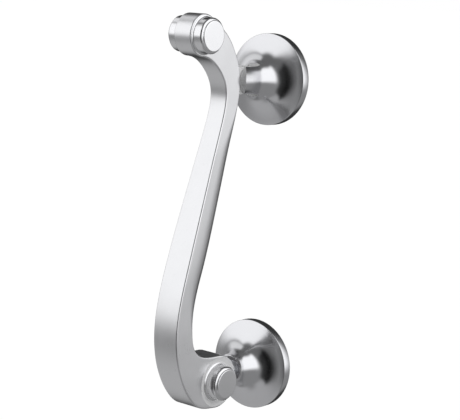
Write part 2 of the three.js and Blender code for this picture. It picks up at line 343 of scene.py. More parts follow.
def thread_sheet():
    """A threaded stud along z: the radius rises and falls once in every pitch along a helix."""
    tree, given, out = new_sheet(
        "threaded_stud", "GeometryNodeTree",
        {"Geometry": SHAPE, "Length": FLOAT, "Radius": FLOAT, "Pitch": FLOAT, "Depth": FLOAT,
         "Chamfer": FLOAT, "Steps": WHOLE, "Segments": WHOLE, "Turn": VECTOR, "Place": VECTOR,
         "Finish": FINISH},
        {"Geometry": SHAPE})
    long, radius, pitch, depth, chamfer, steps, segments = numbers(
        tree, given, "Length", "Radius", "Pitch", "Depth", "Chamfer", "Steps", "Segments")
    grid, column, row = grid_of(tree, steps + 3, segments + 1)
    height = ((column - 1) / steps).clamped() * long
    phase = (height / pitch - row / segments).sum("FRACT")
    ridge = (phase * 2 - 1).sum("ABSOLUTE") * RIDGE_STEEPNESS
    cut = radius - ridge.clamped() * depth
    to_end = height.sum("MINIMUM", -height + long)
    body = cut.sum("MINIMUM", to_end + radius - chamfer)
    inside = (column * (-column + steps + 2)).clamped()
    return finish_turned(tree, grid, body * inside, row / segments * TURN, height, given, out)


def sweep_sheet():
    """Lays the arm's section along a front and a back edge that run side by side.

    The edges come as one line of points, the front edge first. Each point has the direction into
    the metal, half the arm's width there, and how round the back is, from 0 at a scroll to 1 at
    the grip. Half a section is a flat front, a rounded edge, a side, a back corner and a flat back.
    """
    tree, given, out = new_sheet(
        "swept_arm", "GeometryNodeTree",
        {"Geometry": SHAPE, "Edge": FLOAT, "Squareness": FLOAT, "Flat steps": WHOLE,
         "Corner steps": WHOLE, "Side steps": WHOLE, "Finish": FINISH},
        {"Geometry": SHAPE})
    edges = given.outputs["Geometry"]
    edge, squareness, flat, corner, side = numbers(
        tree, given, "Edge", "Squareness", "Flat steps", "Corner steps", "Side steps")
    points = node(tree, "GeometryNodeAttributeDomainSize", {"Geometry": edges}).outputs["Point Count"]
    sections = Number(tree, points) / 2
    half = flat * 2 + corner * 2 + side
    grid, column, row = grid_of(tree, sections, half * 2 + 1)

    def along_edges(name, data_type, index):
        field = node(tree, "GeometryNodeInputNamedAttribute", {"Name": name}, data_type=data_type)
        return sampled(tree, edges, field.outputs[0], index, data_type)

    position = node(tree, "GeometryNodeInputPosition").outputs[0]
    opposite = column + sections
    _, front_y, front_z = parts_of(tree, sampled(tree, edges, position, column))
    _, back_y, back_z = parts_of(tree, sampled(tree, edges, position, opposite))
    _, front_in_y, front_in_z = parts_of(tree, along_edges("inward", "FLOAT_VECTOR", column))
    _, back_in_y, back_in_z = parts_of(tree, along_edges("inward", "FLOAT_VECTOR", opposite))
    width = Number(tree, along_edges("half_width", "FLOAT", column))
    roundness = Number(tree, along_edges("roundness", "FLOAT", column))

    step = row - half
    hand = step.sum("SIGN")
    step = step.sum("ABSOLUTE")
    quarter = TURN / 4
    front = ((step / flat).clamped() * quarter).sum("SINE")
    edge_turn = ((step - flat) / corner).clamped() * quarter
    across = ((step - flat - corner) / side).clamped()
    across = (across * TURN / 2).sum("COSINE").one_minus() / 2
    back_turn = ((step - flat - corner - side) / corner).clamped() * quarter
    back = (((step - flat - corner * 2 - side) / flat).clamped() * quarter).sum("COSINE").one_minus()

    depth = ((front_y - back_y) ** 2 + (front_z - back_z) ** 2).sum("SQRT")
    reach_across = edge.towards(width, roundness)
    reach_in = edge.towards((depth - edge * 2).sum("MAXIMUM", edge), roundness)
    power = (squareness ** -1 * 2 - 1) * roundness + 1
    corner_x = back_turn.sum("COSINE").sum("MAXIMUM", 0) ** power
    corner_in = back_turn.sum("SINE") ** power

    x = (width - edge) * front + edge * edge_turn.sum("SINE")
    x = x - reach_across * corner_x.one_minus() - (width - reach_across) * back
    front_depth = edge * edge_turn.sum("COSINE").one_minus()
    back_depth = reach_in * corner_in.one_minus()
    y = (front_y + front_in_y * front_depth).towards(back_y + back_in_y * back_depth, across)
    z = (front_z + front_in_z * front_depth).towards(back_z + back_in_z * back_depth, across)
    finish_sheet(tree, moved(tree, grid, vector(tree, x * hand, y, z)), given, out, weld=2e-6)
    return tree


# -------- meshes

def line_mesh(name, points, attributes=()):
    """A mesh of loose points, with the attributes that a sheet reads."""
    mesh = bpy.data.meshes.new(name)
    mesh.from_pydata([tuple(point) for point in points], [], [])
    for label, (kind, key, values) in dict(attributes).items():
        attribute = mesh.attributes.new(label, kind, "POINT")
        attribute.data.foreach_set(key, np.asarray(values, np.float32).ravel())
    return mesh


def shaped(name, mesh, tree, settings, finish):
    """Runs a node sheet on a mesh and keeps the result as a plain mesh with its faces outwards."""
    rough = bpy.data.objects.new(name + "_outline", mesh)
    bpy.context.scene.collection.objects.link(rough)
    modifier = rough.modifiers.new("shape", "NODES")
    modifier.node_group = tree
    values = {**settings, "Finish": finish}
    for item in tree.interface.items_tree:
        if item.in_out == "INPUT" and item.name in values:
            modifier[item.identifier] = values[item.name]
    made = baked(name, rough)
    bpy.data.objects.remove(rough)
    return made


def baked(name, source):
    """A new object whose plain mesh is what the source's modifiers make."""
    graph = bpy.context.evaluated_depsgraph_get()
    mesh = bpy.data.meshes.new_from_object(source.evaluated_get(graph), depsgraph=graph)
    mesh.name = name
    return new_object(name, mesh)


def new_object(name, mesh):
    made = bpy.data.objects.new(name, mesh)
    bpy.context.scene.collection.objects.link(made)
    tidy_faces(mesh)
    return made


def tidy_faces(mesh):
    work = bmesh.new()
    work.from_mesh(mesh)
    bmesh.ops.remove_doubles(work, verts=work.verts, dist=1e-7)
    bmesh.ops.dissolve_degenerate(work, edges=work.edges, dist=1e-8)
    bmesh.ops.recalc_face_normals(work, faces=work.faces)
    inside_out = work.calc_volume(signed=True) < 0
    work.to_mesh(mesh)
    work.free()
    if inside_out:
        mesh.flip_normals()
    mesh.shade_smooth()


def joined(name, first, others, operation):
    """The first object cut by, or joined with, the others. The others are used up."""
    for other in others:
        modifier = first.modifiers.new(other.name, "BOOLEAN")
        modifier.operation = operation
        modifier.solver = "EXACT"
        modifier.object = other
    made = baked(name, first)
    for used in (first, *others):
        bpy.data.objects.remove(used)
    made.name = name
    return made


def points_of(mesh):
    places = np.zeros(len(mesh.vertices) * 3, np.float32)
    mesh.vertices.foreach_get("co", places)
    return places.reshape(-1, 3).astype(float)


def mark(mesh, name, values):
    """Keeps a place on the surface for a finish to follow."""
    attribute = mesh.attributes.new(name, "FLOAT_VECTOR", "POINT")
    attribute.data.foreach_set("vector", np.asarray(values, np.float32).ravel())


def mark_turning(made, axis, centre):
    """Marks how far a surface is from its axis of turning and along it, for the turning marks."""
    places = points_of(made.data) - np.array(centre)
    height = places[:, axis]
    across = np.delete(places, axis, axis=1)
    radius = np.hypot(across[:, 0], across[:, 1])
    bearing = np.arctan2(across[:, 1], across[:, 0])
    mark(made.data, "turning", np.stack([radius, height, bearing * radius], axis=1))


def arc(x, y, radius, start, end, steps):
    """Points of an arc between two angles in degrees, both ends included."""
    angles = np.radians(np.linspace(start, end, steps + 1))
    return [(x + radius * math.cos(a), y + radius * math.sin(a)) for a in angles]


def spline(controls, steps):
    """A smooth line that starts and ends on its first and last control points (cubic B-spline)."""
    controls = np.array(controls, float)
    degree = 3
    spans = len(controls) - degree
    knots = np.concatenate([[0] * degree, np.arange(spans + 1), [spans] * degree]).astype(float)
    line = []
    for place in np.linspace(0, spans, steps + 1):
        span = min(int(place), spans - 1) + degree
        near = [controls[span - degree + i] for i in range(degree + 1)]
        for level in range(1, degree + 1):
            for i in range(degree, level - 1, -1):
                first = knots[span - degree + i]
                last = knots[span + 1 + i - level]
                part = (place - first) / (last - first)
                near[i] = near[i - 1] * (1 - part) + near[i] * part
        line.append(tuple(near[degree]))
    return line


def eased(corners, steps=6):
    """An outline through (x, y, rounding) corners, each rounded by an arc of its own radius."""
    points = []
    for i, (x, y, rounding) in enumerate(corners):
        here = Vector((x, y))
        if rounding == 0:
            points.append((x, y))
            continue
        before = (Vector(corners[i - 1][:2]) - here).normalized()
        after = (Vector(corners[i + 1][:2]) - here).normalized()
        opening = before.angle(after)
        inwards = (before + after).normalized()
        centre = here + inwards * rounding / math.sin(opening / 2)
        reach = rounding / math.tan(opening / 2)
        start = here + before * reach - centre
        swing = start.angle_signed(here + after * reach - centre)
        for step in range(steps + 1):
            points.append(tuple(centre + rotated(start, -swing * step / steps)))
    return points


def rotated(arrow, angle):
    return Vector((arrow.x * math.cos(angle) - arrow.y * math.sin(angle),
                   arrow.x * math.sin(angle) + arrow.y * math.cos(angle)))


def turned_piece(name, outline, segments, turn, place, finish):
    mesh = line_mesh(name + "_outline", [(x, y, 0) for x, y in outline])
    settings = {"Segments": segments, "Turn": turn, "Place": place}
    return shaped(name, mesh, sheet("turned_piece", turning_sheet), settings, finish)


def sheet(name, make):
    return bpy.data.node_groups.get(name) or make()


def box_mesh(name, low, high):
    """A plain block, used only as a cutter or to be joined."""
    work = bmesh.new()
    bmesh.ops.create_cube(work, size=1)
    low, high = Vector(low), Vector(high)
    for vertex in work.verts:
        vertex.co = (low + high) / 2 + vertex.co * (high - low)
    mesh = bpy.data.meshes.new(name)
    work.to_mesh(mesh)
    work.free()
    return new_object(name, mesh)


# Turned pieces are made standing on z. These turn them to point away from the door, along +x and -x.
OUTWARDS = (TURN / 4, 0.0, 0.0)
TO_RIGHT = (0.0, TURN / 4, 0.0)
TO_LEFT = (0.0, -TURN / 4, 0.0)


def bar(name, radius, long, place, segments=128):
    """A round bar along x about a place."""
    outline = [(0, -long / 2), (radius, -long / 2), (radius, long / 2), (0, long / 2)]
    return turned_piece(name, outline, segments, TO_RIGHT, place, None)


# -------- finishes

def noise(tree, place, scale, detail, roughness=0.5):
    made = node(tree, "ShaderNodeTexNoise",
                {"Vector": place, "Scale": scale, "Detail": detail, "Roughness": roughness})
    return Number(tree, made.outputs["Fac"])


def marks_sheet():
    """Fine parallel marks: lines that are long one way and close together the other two ways."""
    tree, given, out = new_sheet(
        "fine_marks", "ShaderNodeTree",
        {"Vector": VECTOR, "Spacing": VECTOR, "Contrast": FLOAT},
        {"Height": FLOAT, "Tone": FLOAT})
    scaled = node(tree, "ShaderNodeVectorMath", {0: given.outputs["Vector"], 1: given.outputs["Spacing"]},
                  operation="MULTIPLY")
    place = scaled.outputs[0]
    height = noise(tree, place, 1.0, 4.0, 0.65) * 0.7 + noise(tree, place, 3.7, 2.0) * 0.3
    tone = (height - 0.5) * Number(tree, given.outputs["Contrast"]) + 0.5
    feed(tree, out.inputs["Height"], height)
    feed(tree, out.inputs["Tone"], tone.clamped())
    return tree


def handling_sheet():
    """Where hands and cloths have dulled or shined a surface: soft clouds and a few faint specks."""
    tree, given, out = new_sheet(
        "handling", "ShaderNodeTree",
        {"Vector": VECTOR, "Cloud size": FLOAT, "Speck size": FLOAT},
        {"Cloud": FLOAT, "Speck": FLOAT})
    place = given.outputs["Vector"]
    cloud_size, speck_size = numbers(tree, given, "Cloud size", "Speck size")
    cloud = ((noise(tree, place, cloud_size ** -1, 3.0, 0.55) - 0.35) / 0.3).clamped()
    speck = ((noise(tree, place, speck_size ** -1, 1.0) - 0.62) / 0.1).clamped()
    feed(tree, out.inputs["Cloud"], cloud)
    feed(tree, out.inputs["Speck"], speck)
    return tree


def group(tree, name, make, sockets):
    made = tree.nodes.new("ShaderNodeGroup")
    made.node_tree = sheet(name, make)
    for label, value in sockets.items():
        feed(tree, made.inputs[label], value)
    return made


def metal(name, base, roughness, follows, spacing, contrast, relief, cloudiness):
    """A plated or bare metal: fine marks, handling and a slight change of tone over one base colour."""
    made = bpy.data.materials.get(name)
    if made:
        return made
    made = bpy.data.materials.new(name)
    made.use_nodes = True
    tree = made.node_tree
    shader = tree.nodes["Principled BSDF"]
    shader.inputs["Metallic"].default_value = 1.0
    if follows:
        where = node(tree, "ShaderNodeAttribute", attribute_name=follows).outputs["Vector"]
    else:
        where = node(tree, "ShaderNodeTexCoord").outputs["Object"]
    anywhere = node(tree, "ShaderNodeTexCoord").outputs["Object"]
    marks = group(tree, "fine_marks", marks_sheet,
                  {"Vector": where, "Spacing": spacing, "Contrast": contrast})
    handled = group(tree, "handling", handling_sheet,
                    {"Vector": anywhere, "Cloud size": 11 * MM, "Speck size": 0.7 * MM})
    tone, height = Number(tree, marks.outputs["Tone"]), marks.outputs["Height"]
    cloud, speck = Number(tree, handled.outputs["Cloud"]), Number(tree, handled.outputs["Speck"])
    light = tone * 0.06 + cloud * 0.02 - speck * 0.02 + 0.96
    shade = node(tree, "ShaderNodeVectorMath", {0: base}, operation="SCALE")
    feed(tree, shade.inputs["Scale"], light)
    tree.links.new(shade.outputs[0], shader.inputs["Base Color"])
    rough = tone * 0.06 + cloud * cloudiness + speck * 0.03 + (roughness - 0.03)
    feed(tree, shader.inputs["Roughness"], rough)
    bump = node(tree, "ShaderNodeBump", {"Strength": 0.35, "Distance": relief, "Height": height})
    tree.links.new(bump.outputs[0], shader.inputs["Normal"])
    return made


TURNED_MARKS = (2400.0, 2400.0, 40.0)
# Each finish: its name, what its marks follow, their spacing, contrast and relief, and its cloudiness.
FINISHES = {
    "arm": ("satin_chrome", "grain", (90.0, 2600.0, 2600.0), 1.0, 0.012 * MM, 0.05),
    "rose": ("polished_chrome", "turning", TURNED_MARKS, 0.8, 0.002 * MM, 0.04),
    "button": ("turned_chrome", "turning", TURNED_MARKS, 0.8, 0.003 * MM, 0.04),
    "steel": ("plain_steel", None, (900.0, 900.0, 900.0), 1.4, 0.01 * MM, 0.08),
}


def finish_of(kind):
    finish = bpy.context.scene.knocker_finish
    name, *marks = FINISHES[kind]
    return metal(name, getattr(finish, kind + "_colour"), getattr(finish, kind + "_roughness"), *marks)


# -------- roses

# The outside of a rose from the rim to the neck: (radius, distance from the door), in millimetres.
ROSE_CURVE = [
    (22.5, 4.5), (20.4, 5.1), (17.2, 6.2), (13.6, 7.8), (10.6, 10.2), (8.6, 13.2), (7.5, 17), (7.5, 19.4),
]
# The curve is drawn in this many steps. The first few are left out, where the rim's rounding takes over.
CURVE_STEPS = 120
CURVE_START = 12
# The ring-shaped recess in the back: inner radius, outer radius and depth. The bore: radius and depth.
BACK_RECESS = (7.5 * MM, 16.5 * MM, 2.5 * MM)
STUD_BORE = (3.1 * MM, 12.8 * MM)


def rose_outline(neck_end, neck_bevel):
    """The whole outline of a rose, from the axis behind it round to the axis in front."""
    rose = bpy.context.scene.knocker_roses
    inner, outer, depth = BACK_RECESS
    bore, bore_depth = STUD_BORE
    behind = eased([
        (0, bore_depth, 0), (bore, bore_depth, 0), (bore, 0, 0.2 * MM), (inner, 0, 0.2 * MM),
        (inner, depth, 0.4 * MM), (outer, depth, 0.4 * MM), (outer, 0, 0.2 * MM),
        (rose.radius, 0, 0.3 * MM), (rose.radius, rose.rim_height, 0)], 4)
    outside = spline([(x * MM, y * MM) for x, y in ROSE_CURVE], CURVE_STEPS)[CURVE_START:]
    soft = rose.rim_edge
    corner = eased([(rose.radius, 0, 0), (rose.radius, rose.rim_height, soft), (*outside[0], 0)], 6)
    end = eased([
        (*outside[-1], 0),
        (rose.neck_radius, neck_end - neck_bevel, 0.08 * MM),
        (rose.neck_radius - neck_bevel, neck_end, 0.15 * MM),
        (0, neck_end, 0)], 4)
    return behind[:-1] + corner[1:-1] + outside + end[1:]


def make_rose(name, neck_end, neck_bevel, z):
    rose = bpy.context.scene.knocker_roses
    return turned_piece(name, rose_outline(neck_end, neck_bevel), rose.segments, OUTWARDS, (0, 0, z),
                        finish_of("rose"))


def upper_rose():
    """The upper rose with its neck cut to a fork: a slot, and cheeks rounded about the pin."""
    rose = bpy.context.scene.knocker_roses
    pin = bpy.context.scene.knocker_fixings.pin_radius
    neck_end = -HINGE.y + rose.neck_radius
    blank = make_rose("rose_blank", neck_end + 1 * MM, 0.1 * MM, 0)
    beyond = -neck_end - 5 * MM
    wide = 20 * MM
    half = rose.slot_width / 2
    slot = box_mesh("slot_cutter", (-half, beyond, -wide), (half, -rose.slot_floor, wide))
    square = box_mesh("cheek_square", (-wide, beyond, -wide), (wide, HINGE.y, wide))
    round_end = bar("cheek_round", rose.neck_radius, 3 * wide, HINGE)
    corners = joined("cheek_corners", square, [round_end], "DIFFERENCE")
    bore = bar("pin_bore", pin + 0.03 * MM, 3 * wide, HINGE)
    fork = joined("upper_rose_turned", blank, [slot, corners, bore], "DIFFERENCE")
    finish_rose(fork, "upper_rose", 0)


def lower_rose():
    rose = bpy.context.scene.knocker_roses
    made = make_rose("lower_rose_turned", -LOWER_NECK_END, rose.neck_bevel, LOWER_ROSE_Z)
    finish_rose(made, "lower_rose", LOWER_ROSE_Z)


def finish_rose(made, node_name, z):
    mark_turning(made, 1, (0, 0, z))
    put_in(made, 32, "fixed_roses", "rose_chrome", node_name)


def put_in(made, crease, body, slot, *nodes):
    """Every finished piece: edges sharper than the crease angle stay crisp, and then the body it
    moves with, the finish slot (not used), and the nodes it stands for."""
    made.data.set_sharp_from_angle(angle=math.radians(crease))
    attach(made, body)
    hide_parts(*nodes)


# -------- arm

# Control points of the front and back edges between the scrolls, (y, z) in millimetres.
FRONT_EDGE = [
    (-49.4, 8.2), (-40.8, -1.4), (-40.3, -12.1), (-46.4, -30), (-54.8, -56.1), (-64.3, -86.2),
    (-71.9, -114.4), (-68.2, -138.6), (-54, -157.6),
]
BACK_EDGE = [
    (-39.4, 21), (-29.5, 3), (-31.8, -13.5), (-34.9, -34), (-41.9, -60.4), (-49.6, -90),
    (-60.2, -115), (-57, -128.9), (-48.7, -132.2),
]
# Where the edges leave each scroll, in degrees round it, and how far they carry straight on.
UPPER_LEAVE = {"front": (-93, 4), "back": (59, 8)}
LOWER_LEAVE = {"front": (-95, 7), "back": (89, 5)}
EDGE_STEPS = 260
SCROLL_STEPS = 56
# The heights between which the arm widens, and those where its back turns round and then flat again.
TAPER = (-6 * MM, -98 * MM)
GRIP = ((-8 * MM, -40 * MM), (-90 * MM, -124 * MM))


def smooth(start, end, value):
    part = np.clip((value - start) / (end - start), 0, 1)
    return part * part * (3 - 2 * part)


def scroll_point(centre, radius, degrees, onwards=0):
    """A point on a scroll, or one that far beyond it along its tangent."""
    turn = math.radians(degrees)
    out = Vector((math.cos(turn), math.sin(turn)))
    along = Vector((-out.y, out.x))
    return Vector((centre.y, centre.z)) + out * radius + along * onwards


def whole_edge(side, controls):
    """One edge of the arm from the tip of the upper scroll to the tip of the lower one."""
    arm = bpy.context.scene.knocker_arm
    outwards = 1 if side == "front" else -1
    upper, upper_reach = UPPER_LEAVE[side]
    lower, lower_reach = LOWER_LEAVE[side]
    start = [scroll_point(UPPER_SCROLL, arm.upper_radius, upper, reach)
             for reach in (0, outwards * upper_reach * MM)]
    end = [scroll_point(LOWER_SCROLL, arm.lower_radius, lower, reach)
           for reach in (-outwards * lower_reach * MM, 0)]
    between = [Vector(point) * MM for point in controls]
    free = spline([*start, *between, *end], EDGE_STEPS)
    upper_tip = tip_angle(UPPER_LEAVE, -1)
    lower_tip = tip_angle(LOWER_LEAVE, 1)
    first = scroll_arc(UPPER_SCROLL, arm.upper_radius, upper_tip, near(upper, upper_tip))
    last = scroll_arc(LOWER_SCROLL, arm.lower_radius, near(lower, lower_tip), lower_tip)
    return np.array([*first[:-1], *free, *last[1:]])


def tip_angle(leave, turn):
    """The middle of a scroll's round end, turning the long way from the front edge to the back."""
    front, back = leave["front"][0], leave["back"][0]
    return front + turn * ((turn * (back - front)) % 360) / 2


def near(angle, tip):
    """The same direction, counted so that it lies within half a turn of the tip."""
    return tip + (angle - tip + 180) % 360 - 180


def scroll_arc(centre, radius, start, end):
    return arc(centre.y, centre.z, radius, start, end, SCROLL_STEPS)


def inward(line, hand):
    """Unit directions square to an edge, into the metal."""
    run = np.gradient(line, axis=0)
    run /= np.linalg.norm(run, axis=1)[:, None]
    return np.stack([-run[:, 1], run[:, 0]], axis=1) * hand


def arm_edges():
    """The two edges as one mesh of points, with what the swept section reads at each."""
    arm = bpy.context.scene.knocker_arm
    front = whole_edge("front", FRONT_EDGE)
    back = whole_edge("back", BACK_EDGE)
    level = (front[:, 1] + back[:, 1]) / 2
    widening = smooth(*TAPER, level)
    half_width = (arm.upper_width + (arm.lower_width - arm.upper_width) * widening) / 2
    roundness = smooth(*GRIP[0], level) * (1 - smooth(*GRIP[1], level))
    points = np.concatenate([front, back])
    into_front, into_back = inward(front, 1), inward(back, -1)
    for tip in (0, -1):
        shared = into_front[tip] + into_back[tip]
        into_front[tip] = into_back[tip] = shared / np.linalg.norm(shared)
    into = np.concatenate([into_front, into_back])
    flat = np.zeros((len(points), 1))
    return line_mesh("arm_edges", np.hstack([flat, points]), {
        "inward": ("FLOAT_VECTOR", "vector", np.hstack([flat, into])),
        "half_width": ("FLOAT", "value", np.tile(half_width, 2)),
        "roundness": ("FLOAT", "value", np.tile(roundness, 2)),
    })


# The tongue's round end is this much narrower than its root, so that no two faces share a plane.
TONGUE_STEP = 0.02 * MM


def make_arm():
    """The arm in one piece with its scrolls and the tongue that the pin goes through."""
    arm = bpy.context.scene.knocker_arm
    edges = arm_edges()
    settings = {"Edge": arm.edge, "Squareness": arm.squareness, "Flat steps": 6, "Corner steps": 12,
                "Side steps": 8}
    middle_line = centre_line(edges)
    blank = shaped("arm_blank", edges, sheet("swept_arm", sweep_sheet), settings, finish_of("arm"))
    half = arm.tongue_width / 2
    rise = arm.tongue_height / 2
    root = box_mesh("tongue_root", (-half, HINGE.y - 12 * MM, -rise), (half, HINGE.y, rise))
    end = bar("tongue_end", arm.tongue_end, arm.tongue_width - TONGUE_STEP, HINGE)
    cast = joined("knocker_arm_cast", blank, [root, end], "UNION")
    made = joined("knocker_arm_dished", cast, [dish_cutter(1), dish_cutter(-1)], "DIFFERENCE")
    mark(made.data, "grain", grain_of(points_of(made.data), middle_line))
    put_in(made, 14, "arm", "arm_chrome", "knocker_arm")


def dish_cutter(side):
    """What is cut from one side of the lower scroll for its button to stand in."""
    arm = bpy.context.scene.knocker_arm
    steepness = arm.dish_depth / (arm.dish_radius - arm.dish_floor)
    above = 0.4 * MM
    outline = eased([
        (0, -arm.dish_depth, 0), (arm.dish_floor, -arm.dish_depth, 0.8 * MM),
        (arm.dish_radius + above / steepness, above, 0), (0, above, 0)], 10)
    place = (side * arm.lower_width / 2, LOWER_SCROLL.y, LOWER_SCROLL.z)
    return turned_piece("dish_cutter", outline, 128, TO_RIGHT if side > 0 else TO_LEFT, place, None)


def centre_line(edges):
    points = points_of(edges)[:, 1:]
    half = len(points) // 2
    return (points[:half] + points[half:]) / 2


def grain_of(places, line):
    """Distance along the arm, across it and into it, for the brushing to follow."""
    lengths = np.concatenate([[0], np.cumsum(np.linalg.norm(np.diff(line, axis=0), axis=1))])
    run = np.gradient(line, axis=0)
    run /= np.maximum(np.linalg.norm(run, axis=1), 1e-9)[:, None]
    grain = np.zeros_like(places)
    for block in np.array_split(np.arange(len(places)), 40):
        offset = places[block, None, 1:] - line[None]
        nearest = (offset ** 2).sum(axis=2).argmin(axis=1)
        beside = offset[np.arange(len(block)), nearest]
        direction = run[nearest]
        grain[block, 0] = lengths[nearest] + (beside * direction).sum(axis=1)
        grain[block, 1] = places[block, 0]
        grain[block, 2] = beside[:, 0] * direction[:, 1] - beside[:, 1] * direction[:, 0]
    return grain


# -------- buttons and small pieces

# A cove's height is this share of its width. It stops this many degrees round, at the button's wall.
COVE_RISE = 0.6
COVE_END = 78


def button_outline(cove, sunk):
    """Radius and height of a button from its foot, sunk in the scroll, to the middle of its face."""
    button = bpy.context.scene.knocker_buttons
    shoulder = button.height - button.step
    rise = cove * COVE_RISE
    hollow = [(button.radius + cove * (1 - math.sin(a)), rise * (1 - math.cos(a)) - sunk)
              for a in np.radians(np.linspace(0, COVE_END, 12))]
    body = eased([
        (button.radius, rise - sunk, 0), (button.radius, shoulder, button.shoulder),
        (button.face_radius, shoulder, 0.1 * MM), (button.face_radius, button.height, 0.35 * MM),
        (0, button.height, 0)], 6)
    flat = [(button.face_radius * part, button.height) for part in (0.9, 0.6, 0.3)]
    return [(0, -sunk), *hollow, *body[:-1], *flat, body[-1]]


def make_buttons():
    button = bpy.context.scene.knocker_buttons
    arm = bpy.context.scene.knocker_arm
    levels = {
        "upper": (UPPER_SCROLL, arm.upper_width, button.upper_cove, 0),
        "lower": (LOWER_SCROLL, arm.lower_width, button.lower_cove, arm.dish_depth),
    }
    for level, (scroll, width, cove, sunk) in levels.items():
        for hand, side, turn in (("right", 1, TO_RIGHT), ("left", -1, TO_LEFT)):
            node_name = f"{level}_button_{hand}"
            place = (side * width / 2, scroll.y, scroll.z)
            made = turned_piece(node_name + "_turned", button_outline(cove, sunk), button.segments, turn,
                                place, finish_of("button"))
            mark_turning(made, 0, place)
            put_in(made, 40, "arm", "button_chrome", node_name)


def make_hinge_pin():
    """The pin, with its ends finished flush with the round outside of the neck."""
    rose = bpy.context.scene.knocker_roses
    radius = bpy.context.scene.knocker_fixings.pin_radius
    blank = bar("pin_blank", radius, 2 * rose.neck_radius + 4 * MM, HINGE, 64)
    outline = [(0, -8 * MM), (rose.neck_radius, -8 * MM), (rose.neck_radius, 8 * MM), (0, 8 * MM)]
    neck = turned_piece("neck_outside", outline, rose.segments, OUTWARDS, HINGE, None)
    made = joined("hinge_pin_flush", blank, [neck], "INTERSECT")
    made.data.materials.clear()
    made.data.materials.append(finish_of("rose"))
    mark_turning(made, 0, HINGE)
    put_in(made, 32, "fixed_roses", "plain_steel", "hinge_pin")


def make_striking_stud():
    """The domed stud that the arm falls against, on a tang let into the lower neck."""
    low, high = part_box("striking_stud")
    radius = bpy.context.scene.knocker_fixings.striker_radius
    seat = LOWER_NECK_END
    head = seat - low.y
    outline = eased([
        (0, seat - high.y, 0), (2.4 * MM, seat - high.y, 0.3 * MM), (2.4 * MM, 0, 0), (radius, 0, 0.15 * MM),
        (radius, head * 0.48, 0.9 * MM), (radius * 0.45, head, 2.2 * MM), (0, head, 0)], 8)
    made = turned_piece("striking_stud_turned", outline, 96, OUTWARDS, (0, seat, LOWER_ROSE_Z),
                        finish_of("steel"))
    put_in(made, 32, "fixed_roses", "plain_steel", "striking_stud")


def make_fixing_studs():
    """The threaded studs that go through the door, one in the back of each rose."""
    fixing = bpy.context.scene.knocker_fixings
    for level in ("upper", "lower"):
        node_name = level + "_fixing_stud"
        low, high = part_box(node_name)
        place = (0, high.y, (low.z + high.z) / 2)
        long = high.y - low.y
        settings = {
            "Length": long, "Radius": fixing.stud_radius, "Pitch": fixing.pitch,
            "Depth": fixing.thread_depth, "Chamfer": 0.8 * MM, "Steps": int(long / fixing.pitch * 14),
            "Segments": 48, "Turn": OUTWARDS, "Place": place}
        seed = line_mesh(node_name + "_seed", [(0, 0, 0)])
        made = shaped(node_name + "_threaded", seed, sheet("threaded_stud", thread_sheet), settings,
                      finish_of("steel"))
        put_in(made, 50, "fixed_roses", "plain_steel", node_name)


def make_button_rods():
    """The rods through the scrolls that carry the buttons."""
    for level, scroll in (("upper", UPPER_SCROLL), ("lower", LOWER_SCROLL)):
        node_name = level + "_button_rod"
        size = half_size(node_name)
        chamfer = 0.3 * MM
        outline = [(0, -size.x), (size.z - chamfer, -size.x), (size.z, chamfer - size.x),
                   (size.z, size.x - chamfer), (size.z - chamfer, size.x), (0, size.x)]
        made = turned_piece(node_name + "_turned", outline, 64, TO_RIGHT, (0, scroll.y, scroll.z),
                            finish_of("steel"))
        put_in(made, 30, "arm", "plain_steel", node_name)


# -------- stage

PANEL_INPUTS = (
    "Bearing", "Height", "Middle bearing", "Middle height", "Half width", "Half height", "Softness")


def window_sheet():
    """How much a direction falls inside a soft-edged light panel, from 0 to 1."""
    tree, given, out = new_sheet(
        "light_panel", "ShaderNodeTree",
        dict.fromkeys(PANEL_INPUTS, FLOAT), {"Amount": FLOAT})
    bearing, height, middle_bearing, middle_height, half_width, half_height, softness = numbers(
        tree, given, *PANEL_INPUTS)
    off = (bearing - middle_bearing).sum("WRAP", 180, -180).sum("ABSOLUTE")
    up = (height - middle_height).sum("ABSOLUTE")
    amounts = []
    for distance, half in ((off, half_width), (up, half_height)):
        part = ((half - distance) / softness + 0.5).clamped()
        amounts.append(part * part * (-(part * 2) + 3))
    feed(tree, out.inputs["Amount"], amounts[0] * amounts[1])
    return tree


# Light panels and dark cards round the knocker: middle bearing and height, half width and half
# height, softness (degrees), and brightness. Bearing 0 is straight in front, 90 is to the right.
PANELS = [
    ((-39, -50, 70, 20, 24), 0.48),
    ((204, 0, 34, 50, 20), 0.04),
    ((-42, 22, 32, 27, 16), 1.24),
    ((102, 28, 46, 37, 20), 1.38),
    ((-98, 30, 18, 28, 14), 0.9),
    ((19, -6, 15, 34, 7), 0.0),
    ((34, -6, 12, 34, 18), 0.03),
]
GROUND_LIGHT = 0.3
SKY_LIGHT = 0.16
# The height, in degrees, over which the light from the ground gives way to the light from above.
HORIZON = 24


